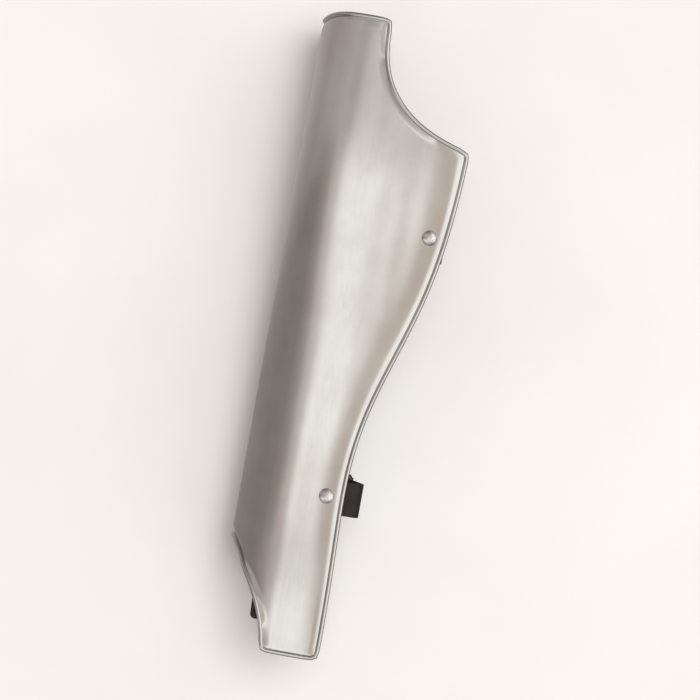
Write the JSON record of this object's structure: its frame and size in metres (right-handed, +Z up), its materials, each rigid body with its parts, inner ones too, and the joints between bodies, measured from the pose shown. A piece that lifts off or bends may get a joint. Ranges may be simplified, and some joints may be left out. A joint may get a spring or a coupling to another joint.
{
  "type": "greave",
  "caption": "Polished steel plate-armour greave with a ridged shin, rolled edge, four rivets and two buckled leather straps.",
  "frame": {"origin": "centre of the part's box in plan, on the floor it lies on", "axes": "+Z up from the floor, +Y towards the knee, +X from the shin ridge to the open back"},
  "size_m": [0.1116, 0.4102, 0.1219],
  "materials": {
    "plate_steel": "polished bright with fine wear",
    "rivet_steel": "polished",
    "buckle_steel": "dull, worn",
    "strap_leather": "dark, oiled"
  },
  "bodies": {
    "root": {"shin_plate": "plate_steel", "rivet_upper_near": "rivet_steel", "rivet_upper_far": "rivet_steel", "rivet_lower_near": "rivet_steel", "rivet_lower_far": "rivet_steel", "strap_upper": "strap_leather", "strap_lower": "strap_leather", "buckle_tab_upper": "strap_leather", "buckle_tab_lower": "strap_leather", "buckle_upper": "buckle_steel", "buckle_lower": "buckle_steel"}
  },
  "joints": []
}
